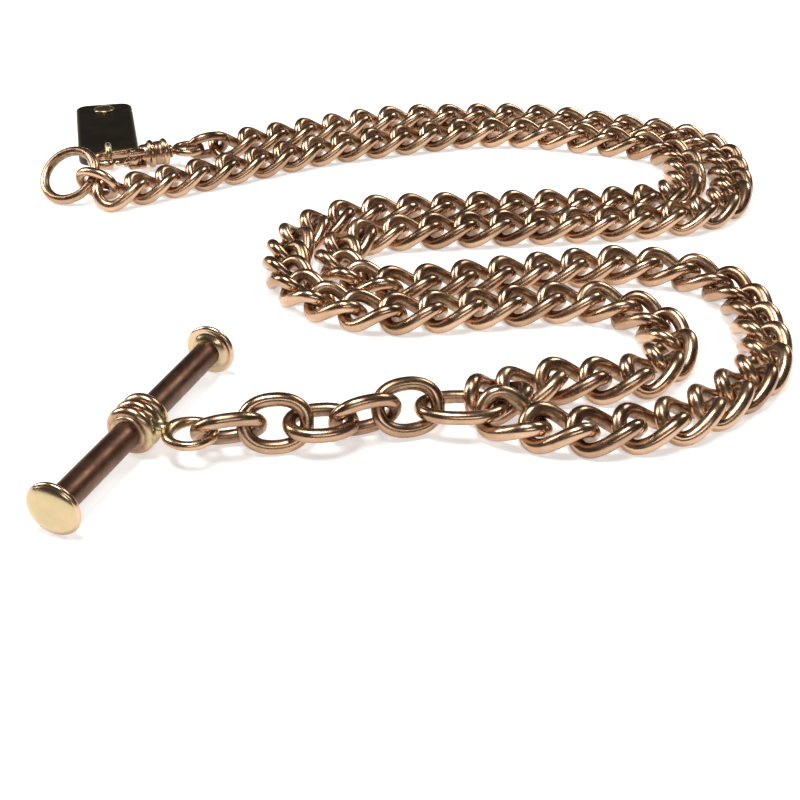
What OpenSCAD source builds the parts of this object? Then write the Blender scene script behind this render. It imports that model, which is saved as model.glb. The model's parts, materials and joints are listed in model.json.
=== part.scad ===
// Pocket watch chain of the double Albert kind, lying on a table: a T-bar on a short drop of oval
// links, and two strands of twisted curb links that start at one junction link. One strand ends
// in a plain ring. The other ends in a swivel clip, which holds a flat fob tab.
// Millimetres, +Z up, the table is the plane z = 0.

/* [Curb chain] */
// Diameter of the wire of the curb links
curb_wire = 1.45; // [1.3:0.05:1.5]
// Height of the twist at a curb link's shoulders
curb_twist = 1.15; // [1.1:0.05:1.2]
// Outer length of a curb link
curb_length = 8.2; // [8.2:0.05:8.3]
// Width of a curb link across the middles of its sides
curb_width = 5.75; // [5.6:0.05:5.8]
// Step from one curb link to the next
curb_pitch = 4.9; // [4.85:0.01:4.92]

/* [Drop links] */
// Diameter of the wire of the drop links
drop_wire = 1.45; // [1.3:0.05:1.5]
// Outer length of a drop link
drop_length = 7.9; // [7.9:0.05:8.1]
// Outer width of a drop link
drop_width = 6.3; // [6.2:0.1:6.6]
// Outer length of the junction link
junction_length = 9.8; // [9.8:0.1:10]
// Outer width of the junction link
junction_width = 6.9; // [6.8:0.1:7.2]

/* [T-bar] */
// Length of the T-bar's rod between its caps
bar_length = 31; // [26:1:40]
// Diameter of the rod
bar_d = 2.9; // [2.4:0.1:3.4]
// Diameter of the button caps
cap_d = 5.8; // [5:0.1:6.4]
// Diameter of the collar round the rod
collar_d = 5.5; // [5.2:0.1:5.6]
// Width of the collar along the rod
collar_w = 4.2; // [3.6:0.1:5]

/* [End fittings] */
// Outer diameter of the plain end ring
ring_d = 9.5; // [9:0.1:10]
// Diameter of the end ring's wire
ring_wire = 1.4; // [1.2:0.05:1.5]
// Width of the fob tab
tab_w = 9.4; // [8:0.1:11]
// Length of the fob tab
tab_length = 26.5; // [22:0.5:32]
// Thickness of the fob tab
tab_t = 1.3; // [1:0.1:1.6]

/* [Hidden] */
// number of curb links in each node, so that the part stays within its number of nodes
group = 4;
outer_links = 58;
inner_links = 55;
outer_names = [for (k = [0 : ceil(outer_links / group) - 1]) str("long_strand_", k + 1)];
inner_names = [for (k = [0 : ceil(inner_links / group) - 1]) str("short_strand_", k + 1)];

// the whole layout is moved so that the origin is under the middle of the chain
lie = [9.3, -42, 0];

// facets of round sections; the round faces are exact
wire_fn = 24;
turn_fn = 48;
// a join ball is a little fatter than its wire, so that the two never share a face
join_fat = 1.015;

// centre line of a curb link: an oval whose two sides are twisted up and down
half_len = (curb_length - curb_wire) / 2;
half_wid = (curb_width - curb_wire) / 2;
curb_z = curb_twist + 0.75;

// [x, y, fillet radius] of each corner of the long strand's route over the table
outer_route = [
    [6.1, -2.75, 0], [10.6, -3.85, 10], [21, -2.5, 16], [34.2, 10, 14], [34.5, 33, 11],
    [21, 37.2, 16], [-16.2, 28.0, 8], [-16.2, 46.2, 8], [20, 50.0, 40], [40, 53.5, 14],
    [43, 83, 14], [14, 94.5, 30], [-10, 93.5, 30], [-40, 78.4, 0]
];
// the same for the short strand, which runs inside the long one
inner_route = [
    [4.27, 4.54, 0], [9.5, 7.3, 8], [19.6, 5.9, 8.6], [24.5, 16, 7.5], [19, 27.2, 9],
    [-6, 23, 30], [-22.7, 22.0, 14.2], [-22.7, 53.0, 14.2], [20, 56.5, 40], [33.7, 59, 9],
    [36.3, 79.5, 9], [8, 89.0, 30], [-20, 79.5, 40], [-52, 59.4, 0]
];
// the first link of each strand hangs in the junction link: tip, then heading, pitch and roll
outer_first = [[0.86, -0.42, 2.86], [-23.95, -8.3, 14.2]];
inner_first = [[-0.2, 0.88, 2.43], [39.3, -5.1, 19.6]];

// centre, then heading and roll of each drop link, from the T-bar to the junction link
drop_places = [
    [[-25.3, -4.5, 2.82], 13.5, -52], [[-20.63, -3.63, 2.9], 8, 63], [[-16, -3.2, 2.73], 8, 1],
    [[-11.47, -2.0, 2.93], 21, -64], [[-7.03, -0.46, 2.93], 17, 54]
];
junction_place = [[-1.55, 0, 2.61], 0, -6.9];

// T-bar: the collar's centre on the table plane, and where the bar points
bar_at = [-34.7, -3.6];
bar_heading = 70.7;
bar_off = 0.4;
cap_t = 0.8;
dome_r = 4.6;
dome_t = 1.05;
eye_d = 5.7;
eye_wire = 1;
eye_reach = 6.02;
solder_d = 1.7;

// ring jump link and end ring
jump_length = 7.2;
jump_width = 5.6;
jump_wire = 1.4;
ring_jump_place = [[-51.95, 62.1, 3.0], 155, 70];
ring_place = [[-56.4, 64.35, 3.4], 156, -40];

// clip jump link, which stands up between the strand and the clip
clip_jump_place = [[-38.1, 79.5, 2.5], 207, 58];

// swivel clip, in its own frame: x from the swivel eye towards the nose, z up
clip_at = [-41, 78.1, 2.46];
clip_heading = 203;
swivel_r = 2;
swivel_wire = 1.1;
stud_d = 1.3;
stud_end = 6.4;
head_d = 2.1;
head_t = 0.6;
barrel_from = 3.1;
barrel_to = 7.8;
barrel_d = 3.5;
bead_d = 0.9;
bead_at = [3.8, 5.9];
run_gap = 0.08;
hook_wire = 1.4;
hook_r = 2.1;
nose_x = 12.9;
lever_x = 8.9;
lever_y = 1.3;
lever_t = 1.0;
pin_d = 0.8;
ear_w = 2;
root_l = 0.9;
root_t = 1;
nose_fat = 1.12;
hub_d = 1.8;
ear_t = 0.55;
ear_z = 0.8;
spring_wire = 0.25;

// fob tab: the middle of its near end, and where it points
tab_at = [-53.38, 77.64];
tab_heading = 103;
tab_corner = 2;
tab_eye_r = 1.65;
tab_eye_wire = 0.95;
tab_eye_z = 2.13;
tab_eye_gap = 0.35;
tab_plate = [2.7, 2.4, 0.5];
tab_plate_x = -0.4;
stud_cap_d = 3.5;
stud_cap_t = 0.5;
stud_from_end = 3.2;

// --- geometry of arcs and routes ---

function curb_point(t) = [half_len * cos(t), half_wid * sin(t), -curb_twist * sin(2 * t)];

// centre of the circle through three points
function arc_centre(p, q, r) =
    let (a = p - r, b = q - r, n = cross(a, b))
    r + cross((a * a) * b - (b * b) * a, n) / (2 * (n * n));

function flat(p) = [p.x, p.y];
function unit(v) = v / norm(v);
function leg(route, k) = unit(flat(route[k + 1]) - flat(route[k]));
function is_corner(route, k) = k > 0 && k < len(route) - 1;
function turn(route, k) =
    let (u = leg(route, k - 1), v = leg(route, k))
    atan2(u.x * v.y - u.y * v.x, u * v);
function setback(route, k) = is_corner(route, k) ? route[k][2] * tan(abs(turn(route, k)) / 2) : 0;
function leg_length(route, k) =
    norm(flat(route[k + 1]) - flat(route[k])) - setback(route, k) - setback(route, k + 1);
function bend_length(route, k) = route[k][2] * abs(turn(route, k)) * PI / 180;

// point on the fillet at corner k, a distance s along its arc
function bend_point(route, k, s) =
    let (
        u = leg(route, k - 1),
        side = sign(turn(route, k)),
        r = route[k][2],
        start = flat(route[k]) - u * setback(route, k),
        a = s / r * 180 / PI
    )
    start + r * (sin(a) * u + side * (1 - cos(a)) * [-u.y, u.x]);

// point on the filleted route, a distance s along it from its start
function route_point(route, s, k = 0) =
    let (straight = leg_length(route, k))
    s <= straight || k == len(route) - 2
        ? flat(route[k]) + leg(route, k) * (setback(route, k) + s)
        : let (rest = s - straight, bend = bend_length(route, k + 1))
          rest <= bend ? bend_point(route, k + 1, rest) : route_point(route, rest - bend, k + 1);

// where link i and the link before it meet; link 0 is the one in the junction link
function contact(route, i) = route_point(route, (i - 1) * curb_pitch);

// --- building blocks ---

// round wire bent through three points
module wire_arc(p, q, r, d) {
    c = arc_centre(p, q, r);
    ex = unit(p - c);
    ez = unit(cross(p - c, r - c));
    ey = cross(ez, ex);
    radius = norm(p - c);
    multmatrix([
        [ex.x, ey.x, ez.x, c.x],
        [ex.y, ey.y, ez.y, c.y],
        [ex.z, ey.z, ez.z, c.z],
        [0, 0, 0, 1]
    ])
        rotate_extrude(angle = acos(ex * unit(r - c)), $fn = turn_fn)
            translate([radius, 0])
                circle(d = d, $fn = wire_fn);
}

// one twisted curb link, centred on the origin, along x: four arcs and a ball at each join
module curb_link() {
    for (t = [0, 90, 180, 270]) {
        wire_arc(curb_point(t), curb_point(t + 45), curb_point(t + 90), curb_wire);
        translate(curb_point(t))
            sphere(d = curb_wire * join_fat, $fn = wire_fn);
    }
}

// flat oval link, centred on the origin, along x
module oval_link(length, width, wire) {
    bend = (width - wire) / 2;
    straight = (length - width) / 2;
    for (s = [0, 180])
        rotate([0, 0, s]) {
            translate([straight, 0, 0])
                rotate([0, 0, -90])
                    rotate_extrude(angle = 180, $fn = turn_fn)
                        translate([bend, 0])
                            circle(d = wire, $fn = wire_fn);
            translate([-straight, bend, 0])
                rotate([0, 90, 0])
                    cylinder(d = wire, h = 2 * straight, $fn = wire_fn);
        }
}

// plain round ring of wire, centred on the origin, flat
module wire_ring(r, wire) {
    rotate_extrude($fn = turn_fn)
        translate([r, 0])
            circle(d = wire, $fn = wire_fn);
}

// moves a link to place = [centre, heading, roll]
module place(at, heading, roll, pitch = 0) {
    translate(lie + at)
        rotate([0, 0, heading])
            rotate([0, -pitch, 0])
                rotate([roll, 0, 0])
                    children();
}

// the first curb link of a strand, hanging in the junction link
module first_link(first) {
    h = first[1][0];
    p = first[1][1];
    along = [cos(h) * cos(p), sin(h) * cos(p), sin(p)];
    place(first[0] + half_len * along, h, first[1][2], p)
        curb_link();
}

// the links of group k of a strand of count links
module strand_group(route, first, count, k) {
    color("peru")
        for (i = [k * group : min(count, (k + 1) * group) - 1])
            if (i == 0) {
                first_link(first);
            } else {
                a = contact(route, i);
                b = contact(route, i + 1);
                place([(a.x + b.x) / 2, (a.y + b.y) / 2, curb_z], atan2(b.y - a.y, b.x - a.x), 0)
                    curb_link();
            }
}

// --- T-bar ---

module on_bar() {
    translate(lie + [bar_at.x, bar_at.y, cap_d / 2])
        rotate([0, 0, bar_heading])
            children();
}

module t_bar_rod() {
    color("saddlebrown")
        on_bar()
            translate([bar_off - bar_length / 2, 0, 0])
                rotate([0, 90, 0])
                    cylinder(d = bar_d, h = bar_length, $fn = turn_fn);
}

// a button cap: a thin flange and a low dome; side is 1 for the far end and -1 for the near end
module bar_cap(side) {
    color("burlywood")
        on_bar()
            translate([bar_off + side * bar_length / 2, 0, 0])
                rotate([0, side * 90, 0])
                    union() {
                        cylinder(d = cap_d, h = cap_t, $fn = turn_fn);
                        intersection() {
                            translate([0, 0, cap_t + dome_t - dome_r])
                                sphere(r = dome_r, $fn = turn_fn);
                            cylinder(d = cap_d - 0.4, h = cap_t + dome_t + 1, $fn = turn_fn);
                        }
                    }
}

module t_bar_near_cap() { bar_cap(-1); }
module t_bar_far_cap() { bar_cap(1); }

// a sleeve round the rod with three ribs
module t_bar_collar() {
    rib = collar_w / 3;
    color("peru")
        on_bar()
            rotate([0, 90, 0])
                difference() {
                    union() {
                        translate([0, 0, -collar_w / 2])
                            cylinder(d = collar_d - 0.7, h = collar_w, $fn = turn_fn);
                        for (k = [-1 : 1])
                            translate([0, 0, k * rib - rib / 3])
                                cylinder(d = collar_d, h = rib * 2 / 3, $fn = turn_fn);
                    }
                    translate([0, 0, -collar_w])
                        cylinder(d = bar_d, h = 2 * collar_w, $fn = turn_fn);
                }
}

// loop that the first drop link hangs in, with the solder that holds it to the collar
module t_bar_eye() {
    loop_r = (eye_d - eye_wire) / 2;
    color("darkkhaki")
        on_bar() {
            translate([0, -eye_reach, 0])
                wire_ring(loop_r, eye_wire);
            difference() {
                translate([0, -eye_reach + loop_r, 0])
                    rotate([-90, 0, 0])
                        cylinder(d = solder_d, h = eye_reach - loop_r - bar_d / 2 - 0.2, $fn = wire_fn);
                rotate([0, 90, 0])
                    translate([0, 0, -collar_w])
                        cylinder(d = collar_d, h = 2 * collar_w, $fn = turn_fn);
            }
        }
}

// --- drop chain ---

module drop_link(n) {
    p = drop_places[n - 1];
    color("peru")
        place(p[0], p[1], p[2])
            oval_link(drop_length, drop_width, drop_wire);
}

module junction_link() {
    color("peru")
        place(junction_place[0], junction_place[1], junction_place[2])
            oval_link(junction_length, junction_width, drop_wire);
}

// --- end ring ---

module ring_jump_link() {
    color("peru")
        place(ring_jump_place[0], ring_jump_place[1], ring_jump_place[2])
            oval_link(jump_length, jump_width, jump_wire);
}

module end_ring() {
    color("peru")
        place(ring_place[0], ring_place[1], ring_place[2])
            wire_ring((ring_d - ring_wire) / 2, ring_wire);
}

// --- swivel clip ---

module on_clip() {
    translate(lie + clip_at)
        rotate([0, 0, clip_heading])
            children();
}

module along_x(x) {
    translate([x, 0, 0])
        rotate([0, 90, 0])
            children();
}

module clip_jump_link() {
    color("peru")
        place(clip_jump_place[0], clip_jump_place[1], clip_jump_place[2])
            oval_link(jump_length, jump_width, jump_wire);
}

// ring and stud that turn in the clip's barrel
module swivel_eye() {
    color("peru")
        on_clip() {
            wire_ring(swivel_r, swivel_wire);
            along_x(swivel_r)
                cylinder(d = stud_d, h = stud_end - swivel_r, $fn = wire_fn);
            along_x(stud_end)
                cylinder(d = head_d, h = head_t, $fn = wire_fn);
        }
}

// barrel with two beads, the hook and the two ears of the lever's pin
module clip_body() {
    color("sienna")
        on_clip()
            difference() {
                union() {
                    along_x(barrel_from)
                        cylinder(d = barrel_d, h = barrel_to - barrel_from, $fn = turn_fn);
                    for (x = bead_at)
                        along_x(x)
                            wire_ring(barrel_d / 2, bead_d);
                    for (z = [ear_z, -ear_z - ear_t])
                        translate([barrel_to - root_l, lever_y - ear_w / 2, z])
                            cube([lever_x + ear_w / 2 - barrel_to + root_l, ear_w, ear_t]);
                    translate([barrel_to - root_l, -hook_r, -root_t / 2])
                        cube([root_l, hook_r, root_t]);
                    translate([nose_x, 0, 0])
                        rotate([0, 0, -90])
                            rotate_extrude(angle = 180, $fn = turn_fn)
                                translate([hook_r, 0])
                                    circle(d = hook_wire, $fn = wire_fn);
                    translate([barrel_to - root_l, -hook_r, 0])
                        rotate([0, 90, 0])
                            cylinder(d = hook_wire, h = nose_x - barrel_to + root_l, $fn = wire_fn);
                    translate([nose_x, hook_r, 0])
                        sphere(d = hook_wire * nose_fat, $fn = wire_fn);
                }
                along_x(barrel_from - 1)
                    cylinder(d = stud_d + 2 * run_gap, h = stud_end - barrel_from + 1, $fn = wire_fn);
                along_x(stud_end - run_gap)
                    cylinder(d = head_d + 2 * run_gap, h = head_t + 2 * run_gap, $fn = wire_fn);
                translate([lever_x, lever_y, -barrel_d])
                    cylinder(d = pin_d, h = 2 * barrel_d, $fn = wire_fn);
            }
}

// sprung lever that closes the hook, with a thumb knob on its outer side
module clip_lever() {
    reach = nose_x - lever_x - hook_wire / 2 - 0.35;
    slope = atan((hook_r - lever_y) / reach);
    color("peru")
        on_clip()
            translate([lever_x, lever_y, 0])
                difference() {
                    union() {
                        translate([0, 0, -lever_t / 2])
                            cylinder(d = hub_d, h = lever_t, $fn = wire_fn);
                        rotate([0, 0, slope])
                            translate([0, -lever_t / 2, -lever_t / 2])
                                cube([reach, lever_t, lever_t]);
                        rotate([0, 0, slope])
                            translate([reach * 0.55, 0, 0])
                                rotate([-90, 0, 0])
                                    cylinder(d = 0.9, h = 1.7, $fn = wire_fn);
                    }
                    translate([0, 0, -lever_t])
                        cylinder(d = pin_d + 0.1, h = 2 * lever_t, $fn = wire_fn);
                }
}

module lever_pin() {
    color("tan")
        on_clip()
            translate([lever_x, lever_y, -ear_z - ear_t - 0.15])
                cylinder(d = pin_d, h = 2 * (ear_z + ear_t + 0.15), $fn = wire_fn);
}

// two turns of the lever's spring, one above and one below the lever
module lever_spring() {
    color("gray")
        on_clip()
            for (s = [-1, 1])
                translate([lever_x, lever_y, s * (lever_t + spring_wire) / 2])
                    wire_ring(pin_d / 2 + spring_wire / 2 + 0.1, spring_wire);
}

// --- fob tab ---

module on_tab() {
    translate(lie + [tab_at.x, tab_at.y, 0])
        rotate([0, 0, tab_heading])
            children();
}

// flat tab with rounded corners
module fob_tab() {
    color([0.13, 0.1, 0.07])
        on_tab()
            linear_extrude(tab_t)
                union() {
                    translate([tab_corner, -tab_w / 2])
                        square([tab_length - 2 * tab_corner, tab_w]);
                    translate([0, tab_corner - tab_w / 2])
                        square([tab_length, tab_w - 2 * tab_corner]);
                    for (x = [tab_corner, tab_length - tab_corner], s = [-1, 1])
                        translate([x, s * (tab_w / 2 - tab_corner)])
                            circle(r = tab_corner, $fn = turn_fn);
                }
}

// upright eye at the tab's near end, on a small plate
module tab_eye() {
    color("darkkhaki")
        on_tab() {
            translate([-tab_eye_r - tab_eye_gap, 0, tab_eye_z])
                rotate([90, 0, 0])
                    wire_ring(tab_eye_r, tab_eye_wire);
            translate([tab_plate_x, -tab_plate.y / 2, tab_t])
                cube(tab_plate);
        }
}

// gilt stud near the tab's far end
module tab_stud() {
    color("darkkhaki")
        on_tab()
            translate([tab_length - stud_from_end, 0, tab_t])
                cylinder(d = stud_cap_d, h = stud_cap_t, $fn = turn_fn);
}

t_bar_rod();
t_bar_near_cap();
t_bar_far_cap();
t_bar_collar();
t_bar_eye();
for (n = [1 : len(drop_places)])
    drop_link(n);
junction_link();
for (k = [0 : len(outer_names) - 1])
    strand_group(outer_route, outer_first, outer_links, k);
for (k = [0 : len(inner_names) - 1])
    strand_group(inner_route, inner_first, inner_links, k);
ring_jump_link();
end_ring();
clip_jump_link();
swivel_eye();
clip_body();
clip_lever();
lever_pin();
lever_spring();
fob_tab();
tab_eye();
tab_stud();
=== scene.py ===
"""Pocket watch chain: the looks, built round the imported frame. Metres, +Z up, the table is z = 0."""
import bmesh
import bpy
import json
import math
import random

import numpy as np
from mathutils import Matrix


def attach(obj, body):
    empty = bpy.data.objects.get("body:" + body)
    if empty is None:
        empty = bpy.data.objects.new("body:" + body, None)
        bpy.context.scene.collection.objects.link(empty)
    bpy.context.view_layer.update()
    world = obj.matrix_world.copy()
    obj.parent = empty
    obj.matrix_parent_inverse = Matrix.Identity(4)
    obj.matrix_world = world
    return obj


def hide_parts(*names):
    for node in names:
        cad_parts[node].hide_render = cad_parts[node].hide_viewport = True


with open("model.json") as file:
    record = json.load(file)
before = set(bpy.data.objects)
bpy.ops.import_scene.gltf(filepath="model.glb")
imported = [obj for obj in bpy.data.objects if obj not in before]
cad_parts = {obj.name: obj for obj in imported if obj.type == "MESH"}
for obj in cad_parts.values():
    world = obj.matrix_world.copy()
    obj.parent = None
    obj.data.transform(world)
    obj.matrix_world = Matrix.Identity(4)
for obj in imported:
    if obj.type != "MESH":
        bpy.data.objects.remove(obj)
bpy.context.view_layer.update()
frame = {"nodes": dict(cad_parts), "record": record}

MM = 0.001
UP = np.array([0.0, 0.0, 1.0])
BODY_OF = {n: body for body, nodes in frame["record"]["behaviour"]["bodies"].items() for n in nodes}
JOINTS = {j["name"]: j for j in frame["record"]["behaviour"]["joints"]}

# the camera: where it stands, how many degrees it looks down, and its lens
CAMERA_AT = (0.00144, -0.1585, 0.0735)
CAMERA_DOWN = 31
CAMERA_LENS = 58.5
CAMERA_CLIP = 0.005

# how finely shapes are drawn: sides round a wire, rings along a link, sides of a turned part
WIRE_SIDES = 18
LINK_RINGS = 72
LATHE_SIDES = 64

# radius of the wire in the CAD's curb, drop and junction links, and the radius that is shown, which
# grows outwards from the same inner side. Jump links and the end ring keep their CAD radius.
CAD_WIRE = 0.725 * MM
CURB_WIRE = 0.82 * MM
DROP_WIRE = 0.755 * MM
JUNCTION_WIRE = 0.73 * MM
JUMP_WIRE = 0.70 * MM

# outline of a link: 2 is an ellipse, and more is squarer
ROUND = 2.0
OVAL = 2.25
# a solid is a twisted link if it is this much thicker than its wire
TWISTED_FROM = 1.2
# the drop's links are painted darker than the strands', as painted shade: the share of the tint's range
# that they use
DROP_SHADED_TINT = 0.4

# solder along a link: how strong it may be, the places it may lie (0 to 1 round the link), its width
SEAM_STRENGTHS = (0.0, 0.0, 0.35, 0.9)
SEAM_PLACES = (0.22, 0.28, 0.72, 0.78)
SEAM_WIDTH = 0.045

# features per metre of each kind of mark on the metal and the enamel
TINT_PATCHES = 260
ENAMEL_PATCHES = 400
POLISH_PATCHES = 700
DINGS = 850
SOLDER_PATCHES = 900
# the spots that break up the painted shade in the hollows
SHADE_SPOTS = 1500
METAL_HAIRS = 2200
ENAMEL_HAIRS = 2600

# colours shared by the metals
GREEN_GOLD = (0.50, 0.42, 0.23)
# near-black brown, painted into the hollows and inner sides as shade
PAINTED_SHADE_COLOR = (0.045, 0.026, 0.017)

dice = random.Random(7)


# ---------------------------------------------------------------- reading the frame

def triangles(faces):
    """The corners of some faces, in the order of the mesh."""
    ordered = sorted(faces, key=lambda face: face.index)
    return np.array([[v.co[:] for v in face.verts] for face in ordered])


def solids(node):
    """The separate solids of a CAD node, each as an array of its triangles' corners."""
    bm = bmesh.new()
    bm.from_mesh(frame["nodes"][node].data)
    bmesh.ops.remove_doubles(bm, verts=bm.verts, dist=1e-7)
    bmesh.ops.triangulate(bm, faces=bm.faces)
    bm.verts.ensure_lookup_table()
    seen, found = set(), []
    for start in bm.verts:
        if start.index in seen:
            continue
        seen.add(start.index)
        todo, faces = [start], set()
        while todo:
            v = todo.pop()
            faces.update(v.link_faces)
            for e in v.link_edges:
                w = e.other_vert(v)
                if w.index not in seen:
                    seen.add(w.index)
                    todo.append(w)
        if faces:
            found.append(triangles(faces))
    bm.free()
    return found


def own_frame(tris):
    """Centre, axes (long, middle, short, as columns) and half sizes of a solid, from its surface."""
    middle = tris.mean(axis=1)
    area = np.linalg.norm(np.cross(tris[:, 1] - tris[:, 0], tris[:, 2] - tris[:, 0]), axis=1)
    weight = area / area.sum()
    centre = weight @ middle
    corners = tris - centre
    total = corners.sum(axis=1)
    # a triangle's second moment is the sum over its corners and their total, over 12
    moment = np.einsum("n,nik,nil->kl", weight, corners, corners) + total.T @ (total * weight[:, None])
    _, axes = np.linalg.eigh(moment / 12)
    basis = np.column_stack([axes[:, 2], axes[:, 1], np.cross(axes[:, 2], axes[:, 1])])
    half = np.abs((tris.reshape(-1, 3) - centre) @ basis).max(axis=0)
    return centre, basis, half


def unit(v):
    """A vector of length 1 along v."""
    v = np.asarray(v, float)
    return v / np.linalg.norm(v)


def unit_rows(rows):
    """Each row of an array brought to length 1."""
    return rows / np.linalg.norm(rows, axis=1)[:, None]


def turns(count):
    """The angles of count even steps once round."""
    return np.arange(count) * 2 * math.pi / count


def steps_on(origin, x_axis):
    """A function that takes millimetres along x_axis, to its left and up, to a place in the frame."""
    basis = np.column_stack([x_axis, np.cross(UP, x_axis), UP])

    def at(x, y, z=0.0):
        return origin + basis @ (np.array([x, y, z]) * MM)

    return at


# ---------------------------------------------------------------- mesh building

class Skin:
    """Vertices and faces of one piece, with three marks on each vertex: how the metal's tint differs
    from link to link, how much solder shows, and how much painted shade lies in the hollow, which on
    the enamel marks rubbed wear instead."""

    def __init__(self):
        self.verts, self.faces = [], []
        self.marks = {"tint": [], "solder": [], "hollow": []}

    def add(self, verts, faces, tint=0.5, solder=0.0, hollow=0.0):
        """Adds a shape. Each mark is one value, or one value for each vertex."""
        base, n = len(self.verts), len(verts)
        self.verts += [tuple(v) for v in verts]
        self.faces += [tuple(base + i for i in f) for f in faces]
        for name, value in (("tint", tint), ("solder", solder), ("hollow", hollow)):
            self.marks[name] += list(np.broadcast_to(np.asarray(value, float), n))

    def piece(self, name, node, metal):
        """Makes the object, which stands for a CAD node and rides on its body."""
        mesh = bpy.data.meshes.new(name)
        mesh.from_pydata(self.verts, [], self.faces)
        for mark_name, values in self.marks.items():
            mesh.attributes.new(mark_name, "FLOAT", "POINT").data.foreach_set("value", values)
        bm = bmesh.new()
        bm.from_mesh(mesh)
        bmesh.ops.recalc_face_normals(bm, faces=bm.faces)
        bm.to_mesh(mesh)
        bm.free()
        mesh.polygons.foreach_set("use_smooth", [True] * len(mesh.polygons))
        obj = bpy.data.objects.new(name, mesh)
        bpy.context.collection.objects.link(obj)
        obj.data.materials.append(metal)
        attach(obj, BODY_OF[node])
        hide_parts(node)


def tube_faces(rows, sides, closed=False):
    """Quads between the rings of a tube, and its two end faces unless it closes on itself."""
    quads = [
        (i * sides + j, i * sides + (j + 1) % sides,
         (i + 1) % rows * sides + (j + 1) % sides, (i + 1) % rows * sides + j)
        for i in range(rows if closed else rows - 1) for j in range(sides)
    ]
    if closed:
        return quads
    return quads + [tuple(range(sides)), tuple((rows - 1) * sides + j for j in range(sides))]


def loop_wire(skin, curve, radius, hub, tint=0.5, solder=0.0, dirt=1.0):
    """A closed ring of wire along the points of a curve round hub, with painted shade on its inner
    side.
    """
    curve = np.asarray(curve)
    n = len(curve)
    along = unit_rows(np.roll(curve, -1, axis=0) - np.roll(curve, 1, axis=0))
    out = curve - hub
    out = unit_rows(out - (out * along).sum(axis=1)[:, None] * along)
    side = np.cross(along, out)
    radius = np.broadcast_to(np.asarray(radius, float), n)
    turn = turns(WIRE_SIDES)
    ring = out[:, None] * np.cos(turn)[None, :, None] + side[:, None] * np.sin(turn)[None, :, None]
    verts = curve[:, None] + ring * radius[:, None, None]
    # the inner side of the wire, facing the hub, is marked for painted shade
    inside = np.clip(-np.cos(turn), 0, 1)[None, :] * np.ones((n, 1))
    solder = np.broadcast_to(np.asarray(solder, float), n)[:, None] * (0.3 + 0.7 * inside)
    faces = tube_faces(n, WIRE_SIDES, closed=True)
    skin.add(verts.reshape(-1, 3), faces, tint, solder.reshape(-1), inside.reshape(-1) * dirt)


def round_tip(end, way, radius):
    """Points and radii that round off a wire's end, from the end outwards."""
    heights = [math.sin(math.radians(a)) for a in (30, 60, 85)]
    return [(end + way * radius * h, radius * math.sqrt(1 - h * h)) for h in heights]


def open_wire(skin, curve, radius, rounded=True, solder=0.0, flatten=(1, 1)):
    """A wire along the points of an open curve. flatten scales its width and its height."""
    curve = [np.asarray(p, float) for p in curve]
    radius = list(np.broadcast_to(np.asarray(radius, float), len(curve)))
    if rounded:
        first = round_tip(curve[0], unit(curve[0] - curve[1]), radius[0])[::-1]
        last = round_tip(curve[-1], unit(curve[-1] - curve[-2]), radius[-1])
        curve = [p for p, _ in first] + curve + [p for p, _ in last]
        radius = [r for _, r in first] + radius + [r for _, r in last]
    curve = np.array(curve)
    along = unit_rows(np.gradient(curve, axis=0))
    ref = UP if abs(along[0][2]) < 0.9 else np.array([0.0, 1.0, 0.0])
    side = unit_rows(np.cross(ref, along))
    top = np.cross(along, side)
    turn = turns(WIRE_SIDES)
    ring = (
        side[:, None] * np.cos(turn)[None, :, None] * flatten[0]
        + top[:, None] * np.sin(turn)[None, :, None] * flatten[1]
    )
    verts = curve[:, None] + ring * np.array(radius)[:, None, None]
    skin.add(verts.reshape(-1, 3), tube_faces(len(curve), WIRE_SIDES), solder=solder)


def lathe(skin, origin, axis, profile, tint=0.5, solder=0.0, hollow=0.0):
    """A turned shape: profile is [(distance along the axis, radius)], closed at both ends."""
    axis = unit(axis)
    ref = UP if abs(axis[2]) < 0.9 else np.array([1.0, 0.0, 0.0])
    u = unit(np.cross(axis, ref))
    v = np.cross(axis, u)
    turn = turns(LATHE_SIDES)
    ring = np.cos(turn)[:, None] * u + np.sin(turn)[:, None] * v
    rows = np.array([origin + axis * x + ring * r for x, r in profile])
    n = len(profile)
    # hollow gives the painted shade along the profile
    dirt = np.repeat(np.broadcast_to(np.asarray(hollow, float), n), LATHE_SIDES)
    gilt = np.repeat(np.broadcast_to(np.asarray(solder, float), n), LATHE_SIDES)
    skin.add(rows.reshape(-1, 3), tube_faces(n, LATHE_SIDES), tint, gilt, dirt)


def slab(skin, at, xs, ys, levels, corner, corner_steps):
    """A flat shape with rounded corners, in millimetres through at(). levels are (height, distance in
    from the outline, rub), from the bottom up."""
    places, rub = [], []
    for z, inset, worn in levels:
        for sx, sy, start in ((1, 1, 0), (-1, 1, 90), (-1, -1, 180), (1, -1, 270)):
            cx = (xs[1] if sx > 0 else xs[0]) - sx * corner
            cy = (ys[1] if sy > 0 else ys[0]) - sy * corner
            for k in range(corner_steps + 1):
                a = math.radians(start + 90 * k / corner_steps)
                r = corner - inset
                places.append(at(cx + r * math.cos(a), cy + r * math.sin(a), z))
                rub.append(worn)
    skin.add(places, tube_faces(len(levels), 4 * (corner_steps + 1)), hollow=rub)


def plate(skin, at, xs, ys, zs, corner, edge):
    """A small flat plate with rounded corners and eased edges, in millimetres through at()."""
    levels = [(zs[0], edge, 0), (zs[0] + edge, 0, 0), (zs[1] - edge, 0, 0), (zs[1], edge, 0)]
    slab(skin, at, xs, ys, levels, corner, corner_steps=6)


def arc(cx, cr, r, start, end, steps):
    """Points of a round stretch of a profile, about (cx, cr), from one angle to another."""
    angles = [math.radians(start + (end - start) * k / steps) for k in range(steps + 1)]
    return [(cx + r * math.cos(a), cr + r * math.sin(a)) for a in angles]


def scaled(profile):
    """A profile in metres, from millimetres."""
    return [(x * MM, r * MM) for x, r in profile]


# ---------------------------------------------------------------- materials

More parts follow.
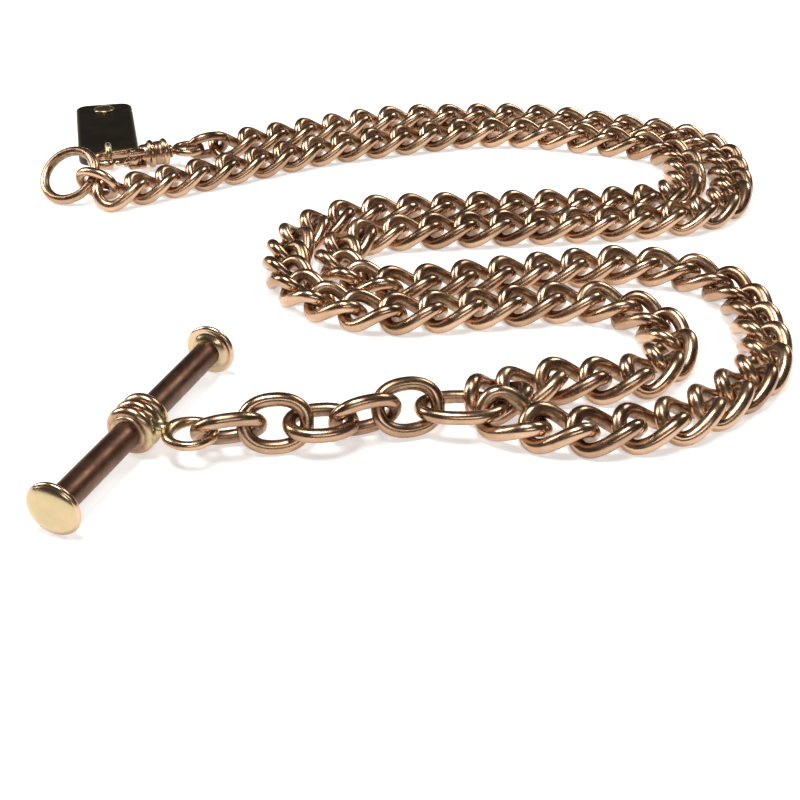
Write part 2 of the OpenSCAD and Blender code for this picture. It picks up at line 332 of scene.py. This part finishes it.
def material(name):
    """A new material: itself, its node tree and its shader."""
    mat = bpy.data.materials.new(name)
    mat.use_nodes = True
    tree = mat.node_tree
    tree.nodes.clear()
    out = tree.nodes.new("ShaderNodeOutputMaterial")
    shader = tree.nodes.new("ShaderNodeBsdfPrincipled")
    tree.links.new(shader.outputs[0], out.inputs[0])
    return mat, tree, shader


def noise(tree, scale, detail, rough=0.55, stretch=(1, 1, 1)):
    """Noise in the piece's own space; scale is in features per metre."""
    where = tree.nodes.new("ShaderNodeTexCoord")
    grow = tree.nodes.new("ShaderNodeMapping")
    grow.inputs["Scale"].default_value = stretch
    node = tree.nodes.new("ShaderNodeTexNoise")
    node.inputs["Scale"].default_value = scale
    node.inputs["Detail"].default_value = detail
    node.inputs["Roughness"].default_value = rough
    tree.links.new(where.outputs["Object"], grow.inputs["Vector"])
    tree.links.new(grow.outputs[0], node.inputs["Vector"])
    return node.outputs["Fac"]


def ramp(tree, value, low, high):
    """A colour that runs from one (place, colour) to another as value grows."""
    node = tree.nodes.new("ShaderNodeValToRGB")
    for element, (position, color) in zip(node.color_ramp.elements, (low, high)):
        element.position = position
        element.color = (*color, 1)
    tree.links.new(value, node.inputs[0])
    return node.outputs[0]


def math_node(tree, how, a, b):
    """A clamped sum or product of two sockets, or of a socket and a number."""
    node = tree.nodes.new("ShaderNodeMath")
    node.operation = how
    node.use_clamp = True
    for socket, value in zip(node.inputs, (a, b)):
        if isinstance(value, (int, float)):
            socket.default_value = value
        else:
            tree.links.new(value, socket)
    return node.outputs[0]


def plus(tree, a, b):
    """A clamped sum."""
    return math_node(tree, "ADD", a, b)


def times(tree, a, b):
    """A clamped product."""
    return math_node(tree, "MULTIPLY", a, b)


def span(tree, value, low, high, to_low, to_high):
    """The value brought from one range to another."""
    node = tree.nodes.new("ShaderNodeMapRange")
    for socket, number in zip(node.inputs[1:5], (low, high, to_low, to_high)):
        socket.default_value = number
    tree.links.new(value, node.inputs[0])
    return node.outputs[0]


def mix(tree, factor, a, b):
    """The colour a turned towards the fixed colour b by factor."""
    node = tree.nodes.new("ShaderNodeMix")
    node.data_type = "RGBA"
    sockets = {s.identifier: s for s in node.inputs}
    tree.links.new(factor, sockets["Factor_Float"])
    tree.links.new(a, sockets["A_Color"])
    sockets["B_Color"].default_value = (*b, 1)
    return next(s for s in node.outputs if s.identifier == "Result_Color")


def mark(tree, name):
    """One of the marks that Skin leaves on the vertices."""
    node = tree.nodes.new("ShaderNodeAttribute")
    node.attribute_name = name
    return node.outputs["Fac"]


def bump(tree, shader, height, strength, depth):
    """Relief on the surface, depth metres at most."""
    node = tree.nodes.new("ShaderNodeBump")
    node.inputs["Strength"].default_value = strength
    node.inputs["Distance"].default_value = depth
    tree.links.new(height, node.inputs["Height"])
    tree.links.new(node.outputs[0], shader.inputs["Normal"])


def worn_metal(name, light, deep, rough=(0.17, 0.33), shade_share=0.75):
    """Old polished metal: tint that wanders, solder and painted shade where marked, hair scratches and
    dings.
    """
    mat, tree, shader = material(name)
    wander = times(tree, noise(tree, TINT_PATCHES, 5), 0.75)
    tint = plus(tree, wander, times(tree, mark(tree, "tint"), 0.3))
    color = ramp(tree, tint, (0.38, deep), (0.66, light))
    solder = span(tree, noise(tree, SOLDER_PATCHES, 3), 0.35, 0.6, 0.45, 1.0)
    color = mix(tree, times(tree, mark(tree, "solder"), solder), color, GREEN_GOLD)
    # painted shade: near-black brown over the marked hollows and inner sides, broken into spots; it
    # also roughens them
    spots = span(tree, noise(tree, SHADE_SPOTS, 6, 0.65), 0.42, 0.68, 0.25, 1.0)
    dirt = times(tree, mark(tree, "hollow"), spots)
    color = mix(tree, times(tree, dirt, shade_share), color, PAINTED_SHADE_COLOR)
    tree.links.new(color, shader.inputs["Base Color"])
    shader.inputs["Metallic"].default_value = 1.0
    polish = span(tree, noise(tree, POLISH_PATCHES, 6, 0.6), 0.3, 0.7, *rough)
    tree.links.new(plus(tree, polish, times(tree, dirt, 0.22)), shader.inputs["Roughness"])
    hair = times(tree, noise(tree, METAL_HAIRS, 3, 0.7, (0.15, 1.0, 2.2)), 0.25)
    dings = times(tree, noise(tree, DINGS, 2), 0.75)
    bump(tree, shader, plus(tree, hair, dings), 0.16, 0.06 * MM)
    return mat


def enamel(name, light, deep, rubbed):
    """Old near-black enamel: a soft gloss with fine hair scratches, and browner, rubbed rims."""
    mat, tree, shader = material(name)
    color = ramp(tree, noise(tree, ENAMEL_PATCHES, 5), (0.3, deep), (0.7, light))
    color = mix(tree, times(tree, mark(tree, "hollow"), 0.7), color, rubbed)
    tree.links.new(color, shader.inputs["Base Color"])
    hair = noise(tree, ENAMEL_HAIRS, 3, 0.7, (0.12, 1.6, 1.0))
    tree.links.new(span(tree, hair, 0.3, 0.7, 0.26, 0.42), shader.inputs["Roughness"])
    shader.inputs["Specular IOR Level"].default_value = 0.25
    bump(tree, shader, hair, 0.12, 0.04 * MM)
    return mat


def make_materials():
    """The six finishes, by name: light and deep colour, then how rough they are and how much painted
    shade their hollows take.
    """
    metals = {
        "rose_gold": ((0.58, 0.39, 0.26), (0.38, 0.235, 0.15)),
        "pale_gilt": ((0.62, 0.45, 0.31), (0.52, 0.34, 0.24), (0.16, 0.28), 0.5),
        "dark_rod": ((0.18, 0.100, 0.068), (0.095, 0.050, 0.034), (0.36, 0.52)),
        "solder_gold": ((0.60, 0.46, 0.26), (0.44, 0.31, 0.17), (0.2, 0.36)),
        "spring_steel": ((0.42, 0.42, 0.43), (0.30, 0.30, 0.31)),
    }
    made = {name: worn_metal(name, *finish) for name, finish in metals.items()}
    made["black_enamel"] = enamel(
        "black_enamel", (0.013, 0.010, 0.006), (0.006, 0.005, 0.003), (0.10, 0.065, 0.035))
    return made


# ---------------------------------------------------------------- the links

def link_curve(half, wire, shown, fullness):
    """Centre line of a link in its own frame: an oval, squarer where fullness is above 2, whose
    sides are twisted up and down if the solid is thicker than its wire."""
    a, b = half[0] - 2 * wire + shown, half[1] - 2 * wire + shown
    c = half[2] - wire if half[2] > TWISTED_FROM * wire else 0.0
    t = turns(LINK_RINGS)
    x, y = np.cos(t), np.sin(t)
    size = (np.abs(x) ** fullness + np.abs(y) ** fullness) ** (-1 / fullness)
    return np.column_stack([a * x * size, b * y * size, -c * np.sin(2 * t)])


def seam(strength, at):
    """Solder along a link: a short stretch about the place at, from 0 to 1 round the link."""
    k = np.arange(LINK_RINGS) / LINK_RINGS
    away = np.abs((k - at + 0.5) % 1 - 0.5)
    return strength * np.exp(-(away / SEAM_WIDTH) ** 2)


def add_links(node, metal, cad_wire, shown_wire, fullness, brightest=1.0):
    """One smooth link for each solid of a CAD node, each with a tint and a seam of its own."""
    skin = Skin()
    for tris in solids(node):
        centre, basis, half = own_frame(tris)
        curve = link_curve(half, cad_wire, shown_wire, fullness) @ basis.T + centre
        strength = dice.choice(SEAM_STRENGTHS)
        solder = seam(strength, dice.choice(SEAM_PLACES))
        loop_wire(skin, curve, shown_wire, centre, tint=dice.random() * brightest, solder=solder)
    skin.piece(node + "_wire", node, metal)


def make_chain(mats):
    """Both strands, the drop, the junction link, the two jump links and the end ring."""
    gold = mats["rose_gold"]
    for node in sorted(frame["nodes"]):
        if node.startswith(("long_strand_", "short_strand_")):
            add_links(node, gold, CAD_WIRE, CURB_WIRE, ROUND)
        elif node.startswith("drop_link_"):
            # the drop's links take only the darker part of the tint's range: painted shade
            add_links(node, gold, CAD_WIRE, DROP_WIRE, OVAL, DROP_SHADED_TINT)
    add_links("junction_link", gold, CAD_WIRE, JUNCTION_WIRE, OVAL)
    for node in ("ring_jump_link", "clip_jump_link"):
        add_links(node, gold, JUMP_WIRE, JUMP_WIRE, OVAL)
    add_links("end_ring", gold, JUMP_WIRE, JUMP_WIRE, ROUND)


# ---------------------------------------------------------------- the T-bar

def make_rod(metal, rod_at, axis, half_length):
    """The plain dark rod, its ends just eased."""
    radius, end_radius, eased, rings = 1.45, 1.40, 0.1, 40
    half = half_length / MM
    body = [(x, radius) for x in np.linspace(-half + eased, half - eased, rings)]
    skin = Skin()
    lathe(skin, rod_at, axis, scaled([(-half, end_radius), *body, (half, end_radius)]))
    skin.piece("t_bar_rod_turned", "t_bar_rod", metal)


def make_caps(metal, rod_at, axis, half_length):
    """The button caps: solder fillet, hollow back, thin rounded rim and a low dome."""
    # (distance from the rod's end, radius, solder, painted shade), outwards: the painted shade darkens
    # the back where the cap meets the rod
    back = [(-0.12, 1.44, 1.0, 0.5), (0.0, 1.66, 1.0, 0.4), (0.12, 1.84, 0.9, 0.3),
            (0.26, 1.98, 0.6, 0.2), (0.38, 2.12, 0.35, 0.1)]
    rim = [(x, r, 0.0, 0.0) for x, r in arc(0.72, 2.56, 0.34, 205, 20, 16)]
    dome_at, dome_height, dome_radius, brow, steps = 0.86, 0.80, 2.76, 74, 22
    slopes = [math.radians(brow - brow * k / steps) for k in range(steps)]
    dome = [(dome_at + dome_height * math.cos(a), dome_radius * math.sin(a), 0.8, 0.0) for a in slopes]
    tip = [(dome_at + dome_height, 0.02, 0.8, 0.0)]
    x, r, solder, dirt = zip(*back, *rim, *dome, *tip)
    profile = scaled(zip(x, r))
    for side, node in ((-1, "t_bar_near_cap"), (1, "t_bar_far_cap")):
        skin = Skin()
        lathe(skin, rod_at + axis * side * half_length, axis * side, profile, 0.8, solder, dirt)
        skin.piece(node + "_turned", node, metal)


def make_collar(metal, collar, axis, to_eye):
    """Three round beads between two thin lips, with solder towards the eye and painted shade in the
    grooves.
    """
    skin = Skin()
    for x, r in ((-1.38, 0.70), (0.0, 0.74), (1.38, 0.70)):
        lathe(skin, collar + axis * x * MM, axis, scaled(arc(0, 2.02, r, 180, 0, 22)))
    for side in (-1, 1):
        lathe(skin, collar, axis, scaled(arc(side * 1.98, 1.62, 0.34, 180, 0, 12)), tint=0.9)
    # solder starts at 0.62 of the collar's radius towards the eye, and painted shade lies below 2.45
    # mm, in the grooves between the beads
    collar_radius, solder_from, solder_fade, dirt_below, dirt_fade = 2.7, 0.62, 0.3, 2.45, 0.5
    away = (np.array(skin.verts) - collar) / MM
    near = away @ to_eye / collar_radius
    radius = np.linalg.norm(away - np.outer(away @ axis, axis), axis=1)
    skin.marks["solder"] = list(np.clip((near - solder_from) / solder_fade, 0, 1))
    skin.marks["hollow"] = list(np.clip((dirt_below - radius) / dirt_fade, 0, 1))
    skin.piece("t_bar_collar_rings", "t_bar_collar", metal)


def make_bar_eye(metal, collar, eye_at, to_eye):
    """The bar's eye: a loop of wire that thickens towards its root, and a web of solder."""
    loop_radius, wire, root_extra = 2.35 * MM, 0.5 * MM, 0.2 * MM
    skin = Skin()
    side = np.cross(UP, to_eye)
    t = turns(LINK_RINGS)
    curve = eye_at + loop_radius * (np.outer(np.sin(t), side) - np.outer(np.cos(t), to_eye))
    radius = wire + root_extra * np.maximum(0.0, np.cos(t)) ** 3
    solder = np.clip(np.cos(t) * 2.2 - 0.6, 0, 1)
    # painted shade at half strength on the loop's inner side
    loop_wire(skin, curve, radius, eye_at, tint=0.6, solder=solder, dirt=0.5)
    web_from, overlap, web_rings = 2.0 * MM, 0.25 * MM, 15
    web_to = np.linalg.norm(eye_at - collar) - loop_radius + overlap
    share = np.linspace(0, 1, web_rings)
    web = collar + np.outer(web_from + (web_to - web_from) * share, to_eye)
    girth = (0.62 + 1.25 * (1 - share) ** 2.4 + 0.35 * share ** 4) * MM
    open_wire(skin, web, girth, rounded=False, solder=1.0, flatten=(1.0, 0.80))
    skin.piece("t_bar_eye_loop", "t_bar_eye", metal)


def make_t_bar(mats):
    """The rod with its caps, the collar round its middle, and the eye."""
    rod_at, rod_axes, rod_half = own_frame(solids("t_bar_rod")[0])
    collar_at = own_frame(solids("t_bar_collar")[0])[0]
    axis = rod_axes[:, 0]
    if axis[1] < 0:
        axis = -axis
    collar = rod_at + axis * ((collar_at - rod_at) @ axis)
    eye_at = np.array(JOINTS["turn_of_t_bar"]["pos_m"])
    to_eye = unit(eye_at - collar)
    make_rod(mats["dark_rod"], rod_at, axis, rod_half[0])
    make_caps(mats["pale_gilt"], rod_at, axis, rod_half[0])
    make_collar(mats["rose_gold"], collar, axis, to_eye)
    make_bar_eye(mats["rose_gold"], collar, eye_at, to_eye)


# ---------------------------------------------------------------- the clip

def make_swivel(metal, origin, x_axis, at):
    """The swivel's eye, its stud, and the stud's head inside the barrel."""
    eye_radius, eye_wire, rings = 2.0, 0.55 * MM, 64
    skin = Skin()
    eye = [at(eye_radius * math.cos(t), eye_radius * math.sin(t)) for t in turns(rings)]
    loop_wire(skin, eye, eye_wire, at(0, 0), tint=0.4)
    stud = [(1.9, 0.6), (2.5, 0.66), (2.6, 0.95), (2.8, 1.05), (2.95, 0.95), (3.02, 0.65),
            (6.38, 0.65), (6.4, 1.0), (6.9, 1.04), (7.0, 0.95)]
    lathe(skin, origin, x_axis, scaled(stud))
    skin.piece("swivel_eye_turned", "swivel_eye", metal)


def make_hook(metal, origin, x_axis, at):
    """The clip's body in one piece: barrel with two beads, hook, and the two ears for the lever."""
    skin = Skin()
    # mouth, beads and a tapered end, from the swivel's side to the hook's
    mouth = [(3.3, 0.76), (3.12, 0.8), (3.12, 1.3), (3.25, 1.5)]
    bead_at, bead_centre, bead_radius, bead_steps = (3.8, 5.9), 1.7, 0.45, 12
    beads = [p for x in bead_at for p in arc(x, bead_centre, bead_radius, 165, 15, bead_steps)]
    taper = [(6.6, 1.62), (7.2, 1.6), (7.6, 1.45), (7.78, 1.15), (7.8, 0.5)]
    crest = [0.0] * (bead_steps - 1)
    # painted shade in the mouth and in the grooves beside the beads, a little on the taper, none on the
    # crests
    dirt = [0.8] * len(mouth) + [0.5] + crest + [0.8, 0.8] + crest + [0.7] + [0.1] * len(taper)
    lathe(skin, origin, x_axis, scaled(mouth + beads + taper), hollow=dirt)

    nose_x, hook_radius, hook_wire, nose_steps = 12.9, 2.1, 0.7 * MM, 22
    bend = [at(6.9, -1.0), at(7.3, -1.35), at(7.8, -1.75), at(8.4, -2.02)]
    bend += [at(x, -hook_radius) for x in (9.2, 10.2, 11.2, 12.2)]
    nose = [math.radians(-90 + 180 * k / nose_steps) for k in range(nose_steps + 1)]
    bend += [at(nose_x + hook_radius * math.cos(a), hook_radius * math.sin(a)) for a in nose]
    swell = [0.71 * MM, 0.73 * MM, 0.74 * MM, 0.74 * MM]
    open_wire(skin, bend, [hook_wire] * (len(bend) - len(swell)) + swell)

    ear_thick = 0.53
    for z in (0.8, -1.35):
        plate(skin, at, (7.1, 9.85), (0.35, 2.25), (z, z + ear_thick), corner=0.45, edge=0.08)
    skin.piece("clip_hook_wire", "clip_body", metal)


def along_y(at):
    """The direction of y in the frame that at() steps on."""
    return unit(at(0, 1) - at(0, 0))


def make_lever(metal, pivot, at):
    """The lever that closes the hook: its boss, its bar and the small knob on it."""
    reach, rise, knob_along = 2.9, 0.8, 1.6
    slope = math.atan(rise / reach)

    def along(distance):
        return at(pivot[0] + distance * math.cos(slope), pivot[1] + distance * math.sin(slope))

    boss = [(-0.5, 0.5), (-0.5, 0.82), (-0.42, 0.9), (0.42, 0.9), (0.5, 0.82), (0.5, 0.5)]
    knob = [(0.2, 0.3), (0.9, 0.28), (1.05, 0.42)] + arc(1.25, 0.0, 0.43, 120, 5, 8)
    bar_places = (0.0, 0.5, 1.0, 1.6, 2.2, 2.65)
    bar_radii = [0.5 * MM] * 3 + [0.49 * MM] * 3
    skin = Skin()
    lathe(skin, at(*pivot), UP, scaled(boss))
    open_wire(skin, [along(d) for d in bar_places], bar_radii, flatten=(1.0, 0.95))
    lathe(skin, along(knob_along), along_y(at), scaled(knob))
    skin.piece("clip_lever_bar", "clip_lever", metal)


def make_pin(metal, pivot, at):
    """The lever's pin, with rounded ends."""
    pin = [(-1.48, 0.2), (-1.42, 0.36), (-1.3, 0.4), (1.3, 0.4), (1.42, 0.36), (1.48, 0.2)]
    skin = Skin()
    lathe(skin, at(*pivot), UP, scaled(pin))
    skin.piece("lever_pin_turned", "lever_pin", metal)


def make_spring(metal, pivot, at):
    """The lever's spring: one turn above the boss and one below it."""
    turn_radius, turn_z, wire, rings = 0.625, 0.625, 0.12 * MM, 48
    skin = Skin()
    for z in (-turn_z, turn_z):
        coil = [at(pivot[0] + turn_radius * math.cos(t), pivot[1] + turn_radius * math.sin(t), z)
                for t in turns(rings)]
        # faint painted shade on the inner side of each turn
        loop_wire(skin, coil, wire, at(*pivot, z), dirt=0.3)
    skin.piece("lever_spring_turns", "lever_spring", metal)


def make_clip(mats):
    """The swivel clip, from its place and axis in the frame."""
    spin = JOINTS["spin_of_clip"]
    origin, x_axis = np.array(spin["pos_m"]), unit(spin["axis"])
    at = steps_on(origin, x_axis)
    pivot = (8.9, 1.3)
    make_swivel(mats["rose_gold"], origin, x_axis, at)
    make_hook(mats["rose_gold"], origin, x_axis, at)
    make_lever(mats["rose_gold"], pivot, at)
    make_pin(mats["rose_gold"], pivot, at)
    make_spring(mats["spring_steel"], pivot, at)


# ---------------------------------------------------------------- the fob tab

def make_tab_plate(metal, at, length, width, thick):
    """The tab: rounded edges, a shallow groove inside them, and wear where the edge rubs."""
    corner, corner_steps = 2.0, 12
    # (height, distance in from the outline, rub) from below, then (depth under the top, in, rub)
    side = [(0.0, 0.25, 0.0), (0.12, 0.06, 0.3), (0.3, 0.0, 0.6)]
    top = [(0.35, 0.0, 0.6), (0.15, 0.07, 1.0), (0.03, 0.24, 0.7), (0.0, 0.5, 0.1), (0.02, 0.75, 0.0),
           (0.07, 0.9, 0.0), (0.02, 1.05, 0.0), (0.0, 1.3, 0.0)]
    levels = side + [(thick - down, inset, worn) for down, inset, worn in top]
    skin = Skin()
    slab(skin, at, (0, length), (-width / 2, width / 2), levels, corner, corner_steps)
    skin.piece("fob_tab_plate", "fob_tab", metal)


def make_tab_eye(metal, at, thick):
    """The tab's upright eye, just off its near edge, and the plate that holds it."""
    eye_radius, eye_wire, eye_x, eye_z, rings = 1.65, 0.475 * MM, -2.0, 2.13, 56
    ring = [at(eye_x + eye_radius * math.cos(t), 0, eye_z + eye_radius * math.sin(t))
            for t in turns(rings)]
    sunk, plate_top = 0.02, 0.48
    heights = (thick - sunk, thick + plate_top)
    skin = Skin()
    loop_wire(skin, ring, eye_wire, at(eye_x, 0, eye_z), solder=0.4)
    plate(skin, at, (-0.38, 2.28), (-1.18, 1.18), heights, corner=0.5, edge=0.12)
    skin.piece("tab_eye_wire", "tab_eye", metal)


def make_tab_stud(metal, tab_top):
    """The low gilt dome on the tab."""
    stud_at = own_frame(solids("tab_stud")[0])[0]
    stud_at[2] = tab_top
    foot = [(0.0, 1.2), (0.0, 1.6), (0.06, 1.74)]
    dome_at, dome_height, dome_radius, steps = 0.12, 0.37, 1.72, 10
    slopes = [math.radians(90 * k / steps) for k in range(steps)]
    dome = [(dome_at + dome_height * math.sin(a), dome_radius * math.cos(a)) for a in slopes]
    tip = [(dome_at + dome_height, 0.05)]
    skin = Skin()
    lathe(skin, stud_at, UP, scaled(foot + dome + tip), solder=0.8)
    skin.piece("tab_stud_dome", "tab_stud", metal)


def make_tab(mats):
    """The fob tab, with its eye and its stud, from its own frame: x runs away from the eye."""
    centre, basis, half = own_frame(solids("fob_tab")[0])
    eye_centre = own_frame(solids("tab_eye")[0])[0]
    x_axis = basis[:, 0] if (centre - eye_centre) @ basis[:, 0] > 0 else -basis[:, 0]
    start = centre - x_axis * half[0] - UP * half[2]
    length, width, thick = (2 * h / MM for h in half)
    at = steps_on(start, x_axis)
    make_tab_plate(mats["black_enamel"], at, length, width, thick)
    make_tab_eye(mats["solder_gold"], at, thick)
    make_tab_stud(mats["solder_gold"], start[2] + thick * MM)


# ---------------------------------------------------------------- camera, table and lights

def make_camera():
    """The photo's viewpoint, without shift or depth of field."""
    data = bpy.data.cameras.new("camera")
    data.lens = CAMERA_LENS
    data.clip_start = CAMERA_CLIP
    camera = bpy.data.objects.new("camera", data)
    camera.location = CAMERA_AT
    camera.rotation_euler = (math.radians(90 - CAMERA_DOWN), 0, 0)
    bpy.context.collection.objects.link(camera)
    bpy.context.scene.camera = camera


def area_light(name, at, aim, size, power, color):
    """A soft rectangular light of some watts, at one place and aimed at another."""
    data = bpy.data.lights.new(name, "AREA")
    data.shape = "RECTANGLE"
    data.size, data.size_y = size
    data.energy = power
    data.color = color
    lamp = bpy.data.objects.new(name, data)
    lamp.location = at
    way = np.array(aim, float) - np.array(at, float)
    flat = math.hypot(way[0], way[1])
    lamp.rotation_euler = (math.atan2(flat, -way[2]), 0, math.atan2(way[1], way[0]) - math.pi / 2)
    bpy.context.collection.objects.link(lamp)


def make_floor():
    """A plain pale table that glows a little, so that it stays white under the dim lights."""
    side, white, glow = 6, (0.9, 0.9, 0.9, 1), 0.50
    bpy.ops.mesh.primitive_plane_add(size=side)
    floor = bpy.context.object
    floor.name = "floor"
    mat, _, shader = material("table")
    shader.inputs["Base Color"].default_value = white
    shader.inputs["Roughness"].default_value = 0.9
    shader.inputs["Specular IOR Level"].default_value = 0.1
    shader.inputs["Emission Color"].default_value = (1, 1, 1, 1)
    shader.inputs["Emission Strength"].default_value = glow
    floor.data.materials.append(mat)


def make_light():
    """A dim room and four soft lights."""
    room_color = (0.065, 0.055, 0.052, 1)
    world = bpy.data.worlds.new("room")
    bpy.context.scene.world = world
    world.use_nodes = True
    world.node_tree.nodes["Background"].inputs["Color"].default_value = room_color
    middle, warm = (0, 0.02, 0), (1, 0.96, 0.90)
    area_light("key", (-0.08, -0.08, 0.55), middle, (0.26, 0.15), 2.3, warm)
    area_light("back", (0.34, 0.30, 0.42), middle, (0.20, 0.20), 1.1, (1, 0.95, 0.88))
    area_light("left", (-0.52, 0.10, 0.30), (0, 0, 0), (0.16, 0.34), 1.8, warm)
    area_light("front", (0.15, -0.62, 0.36), middle, (0.5, 0.12), 0.7, (1, 0.98, 0.96))
    bpy.context.scene.view_settings.view_transform = "Standard"


# ---------------------------------------------------------------- the whole

make_camera()
make_floor()
make_light()
MATERIALS = make_materials()
make_chain(MATERIALS)
make_t_bar(MATERIALS)
make_clip(MATERIALS)
make_tab(MATERIALS)
